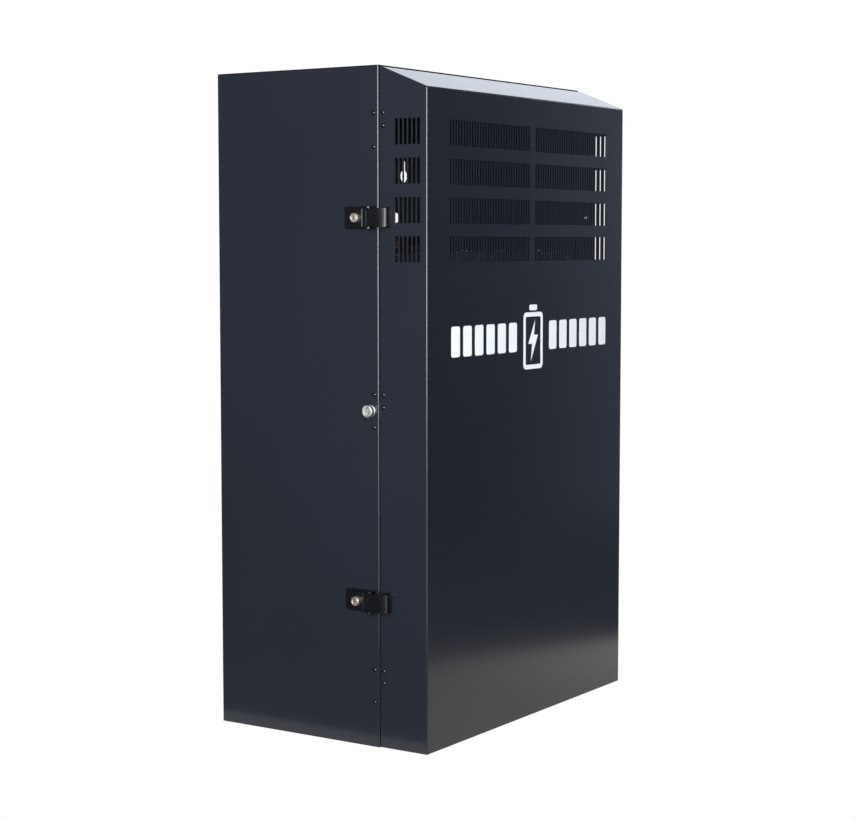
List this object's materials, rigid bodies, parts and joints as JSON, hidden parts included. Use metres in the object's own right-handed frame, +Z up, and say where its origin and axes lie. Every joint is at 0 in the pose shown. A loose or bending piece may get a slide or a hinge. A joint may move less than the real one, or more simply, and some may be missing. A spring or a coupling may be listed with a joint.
{
  "type": "rack battery cabinet",
  "caption": "Lockable steel wall cabinet with a hinged louvred front cover, holding rack battery modules on end with their link bars and isolator.",
  "frame": {"origin": "centre of the cabinet base, in the plane it stands on", "axes": "+Z up, front cover faces -Y, flat back faces +Y, latches on the -X side, hinges on the +X side"},
  "size_m": [0.6251, 0.392, 1.0233],
  "materials": {
    "cabinet_paint": "fine-texture powder coat, satin",
    "latch_black": "smooth black enamel",
    "zinc": "bright zinc plating",
    "chrome": "polished nickel-chrome",
    "brass": "turned, bare",
    "copper": "bare copper bar",
    "rubber": "matt black",
    "module_paint": "fine powder coat",
    "cell_case": "blue film over drawn cans",
    "red_plastic": "moulded",
    "pale_plastic": "moulded, fine grain",
    "green_plastic": "moulded",
    "black_plastic": "moulded",
    "orange_cable": "smooth cable sheath",
    "black_cable": "smooth cable sheath"
  },
  "bodies": {
    "cabinet": {"body_wrap": "cabinet_paint", "bottom_hinge_body_leaf": "latch_black", "bottom_hinge_pin": "zinc", "bottom_panel": "cabinet_paint", "cable_grommet_left": "rubber", "cable_grommet_right": "rubber", "earth_stud": "brass", "front_module_breaker_body": "pale_plastic", "front_module_case_lid": "module_paint", "front_module_case_tray": "module_paint", "front_module_cell_stack": "cell_case", "front_module_face_plate": "module_paint", "front_module_handle_left": "latch_black", "front_module_handle_right": "latch_black", "front_module_negative_post": "brass", "front_module_positive_post": "brass", "isolator_body": "pale_plastic", "lower_latch_base": "latch_black", "lower_latch_pin": "zinc", "middle_hinge_body_leaf": "latch_black", "middle_hinge_pin": "zinc", "negative_cable": "black_cable", "negative_link_bar": "copper", "positive_cable": "orange_cable", "positive_link_bar": "copper", "rack_rail_left": "zinc", "rack_rail_right": "zinc", "rear_module_breaker_body": "pale_plastic", "rear_module_case_lid": "module_paint", "rear_module_case_tray": "module_paint", "rear_module_cell_stack": "cell_case", "rear_module_face_plate": "module_paint", "rear_module_handle_left": "latch_black", "rear_module_handle_right": "latch_black", "rear_module_negative_post": "brass", "rear_module_positive_post": "brass", "support_shelf": "cabinet_paint", "thumbscrew_collar": "zinc", "top_hinge_body_leaf": "latch_black", "top_hinge_pin": "zinc", "top_panel": "cabinet_paint", "upper_latch_base": "latch_black", "upper_latch_pin": "zinc"},
    "cover": {"front_cover": "cabinet_paint", "cover_lock_tab": "zinc", "top_hinge_cover_leaf": "latch_black", "middle_hinge_cover_leaf": "latch_black", "bottom_hinge_cover_leaf": "latch_black", "upper_latch_keeper": "latch_black", "lower_latch_keeper": "latch_black"},
    "upper_lever": {"upper_latch_lever": "latch_black"},
    "upper_lock": {"upper_lock_cylinder": "chrome"},
    "lower_lever": {"lower_latch_lever": "latch_black"},
    "lower_lock": {"lower_lock_cylinder": "chrome"},
    "thumbscrew": {"thumbscrew_stud": "chrome"},
    "isolator_handle": {"isolator_knob": "red_plastic"},
    "front_toggle": {"front_module_breaker_toggle": "black_plastic"},
    "front_button": {"front_module_power_button": "green_plastic"},
    "rear_toggle": {"rear_module_breaker_toggle": "black_plastic"},
    "rear_button": {"rear_module_power_button": "green_plastic"}
  },
  "joints": [
    {"name": "cover_hinge", "type": "hinge", "parent": "cabinet", "child": "cover", "pos_m": [0.3048, -0.11055, 0.5], "axis": [0, 0, 1], "range_deg": [0, 120]},
    {"name": "upper_lever_lift", "type": "hinge", "parent": "cabinet", "child": "upper_lever", "pos_m": [-0.311, -0.099, 0.7965], "axis": [0, 0, -1], "range_deg": [0, 95]},
    {"name": "upper_key_turn", "type": "hinge", "parent": "cabinet", "child": "upper_lock", "pos_m": [-0.31, -0.075, 0.7965], "axis": [-1, 0, 0], "range_deg": [0, 90]},
    {"name": "lower_lever_lift", "type": "hinge", "parent": "cabinet", "child": "lower_lever", "pos_m": [-0.311, -0.099, 0.2225], "axis": [0, 0, -1], "range_deg": [0, 95]},
    {"name": "lower_key_turn", "type": "hinge", "parent": "cabinet", "child": "lower_lock", "pos_m": [-0.31, -0.075, 0.2225], "axis": [-1, 0, 0], "range_deg": [0, 90]},
    {"name": "thumbscrew_turn", "type": "hinge", "parent": "cabinet", "child": "thumbscrew", "pos_m": [-0.307, -0.0945, 0.5095], "axis": [-1, 0, 0], "range_deg": [0, 90]},
    {"name": "isolator_turn", "type": "hinge", "parent": "cabinet", "child": "isolator_handle", "pos_m": [-0.09, 0.11, 0.9], "axis": [0, -1, 0], "range_deg": [0, 90]},
    {"name": "front_breaker_throw", "type": "hinge", "parent": "cabinet", "child": "front_toggle", "pos_m": [-0.075, -0.02133, 0.75], "axis": [-1, 0, 0], "range_deg": [0, 45]},
    {"name": "front_button_press", "type": "slide", "parent": "cabinet", "child": "front_button", "axis": [0, 0, -1], "range_m": [0, 0.002], "stiffness_N_per_m": 400},
    {"name": "rear_breaker_throw", "type": "hinge", "parent": "cabinet", "child": "rear_toggle", "pos_m": [-0.075, 0.11202, 0.75], "axis": [-1, 0, 0], "range_deg": [0, 45]},
    {"name": "rear_button_press", "type": "slide", "parent": "cabinet", "child": "rear_button", "axis": [0, 0, -1], "range_m": [0, 0.002], "stiffness_N_per_m": 400}
  ]
}
